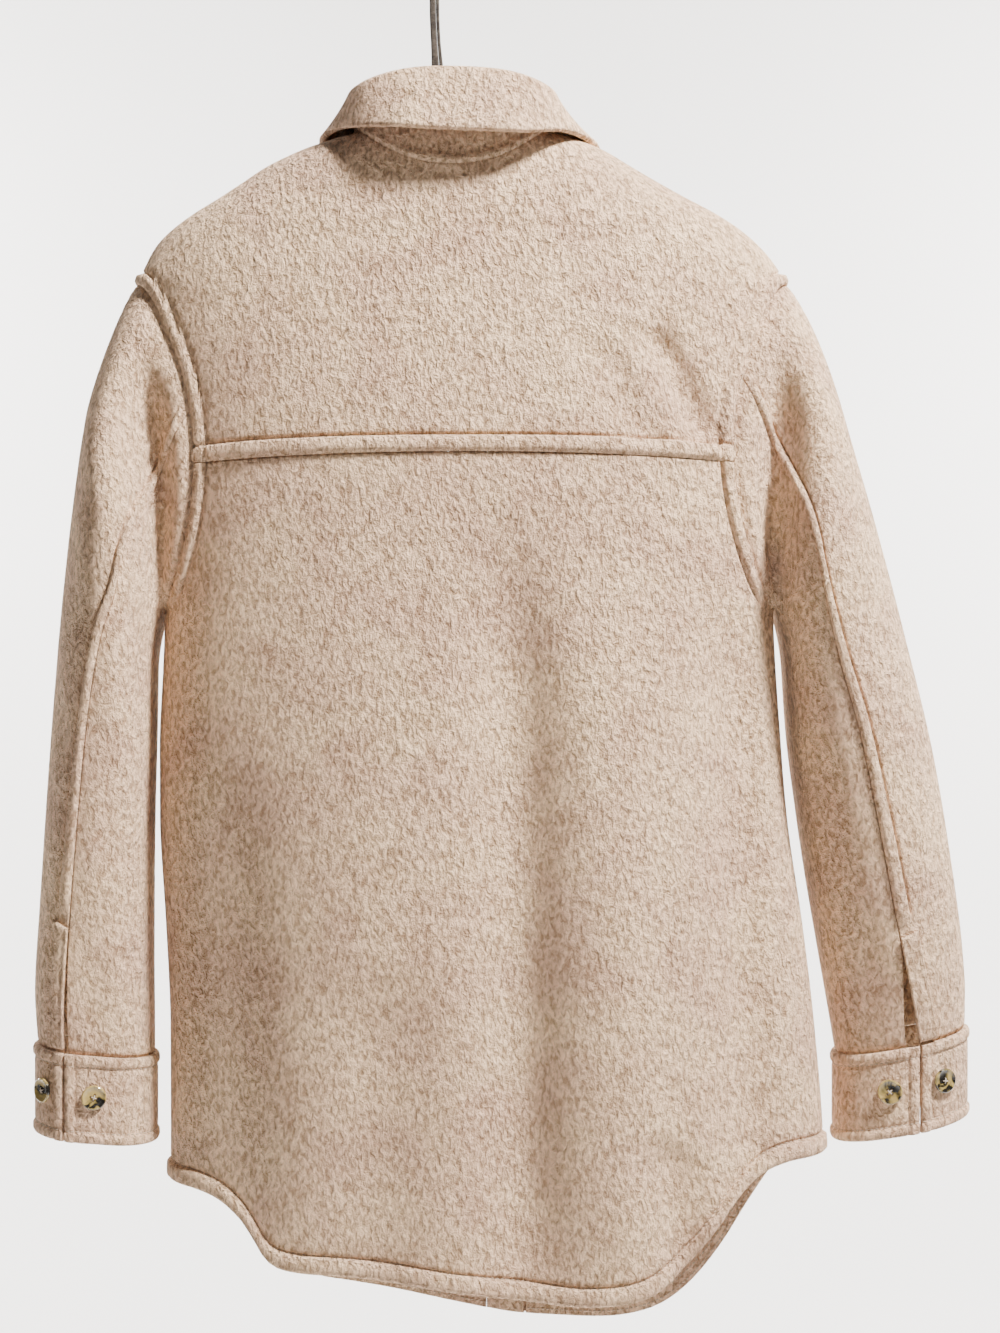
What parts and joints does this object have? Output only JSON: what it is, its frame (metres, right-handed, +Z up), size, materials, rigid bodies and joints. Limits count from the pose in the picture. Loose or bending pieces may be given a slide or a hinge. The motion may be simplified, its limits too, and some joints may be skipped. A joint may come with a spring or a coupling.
{
  "type": "shacket on a clothes hanger",
  "caption": "Boxy wool shirt-jacket with a turn-down collar, yoked back, buttoned cuffs and shirt-tail hem, hung on a slim flocked hanger.",
  "frame": {"origin": "the point inside the hook's bend where a rail carries it", "axes": "+Z up; the back of the garment faces -Y; the wearer's left arm is at -X"},
  "size_m": [0.678, 0.1829, 1.005],
  "materials": {
    "wool_cloth": "felted",
    "horn_button": "marbled",
    "flocked_hanger": "flocked"
  },
  "bodies": {
    "root": {"yoke": "wool_cloth", "back_panel": "wool_cloth", "front_left": "wool_cloth", "front_right": "wool_cloth", "front_band_left": "wool_cloth", "front_band_right": "wool_cloth", "collar_stand": "wool_cloth", "collar_fall": "wool_cloth", "sleeve_under_left": "wool_cloth", "sleeve_upper_left": "wool_cloth", "sleeve_vent_left": "wool_cloth", "sleeve_under_right": "wool_cloth", "sleeve_upper_right": "wool_cloth", "sleeve_vent_right": "wool_cloth", "cuff_left": "wool_cloth", "cuff_right": "wool_cloth", "front_button_1": "horn_button", "front_button_2": "horn_button", "front_button_3": "horn_button", "front_button_4": "horn_button", "front_button_5": "horn_button", "front_button_6": "horn_button", "cuff_button_main_left": "horn_button", "cuff_button_flap_left": "horn_button", "cuff_button_main_right": "horn_button", "cuff_button_flap_right": "horn_button", "hanger": "flocked_hanger", "hanger_hook": "flocked_hanger"}
  },
  "joints": []
}
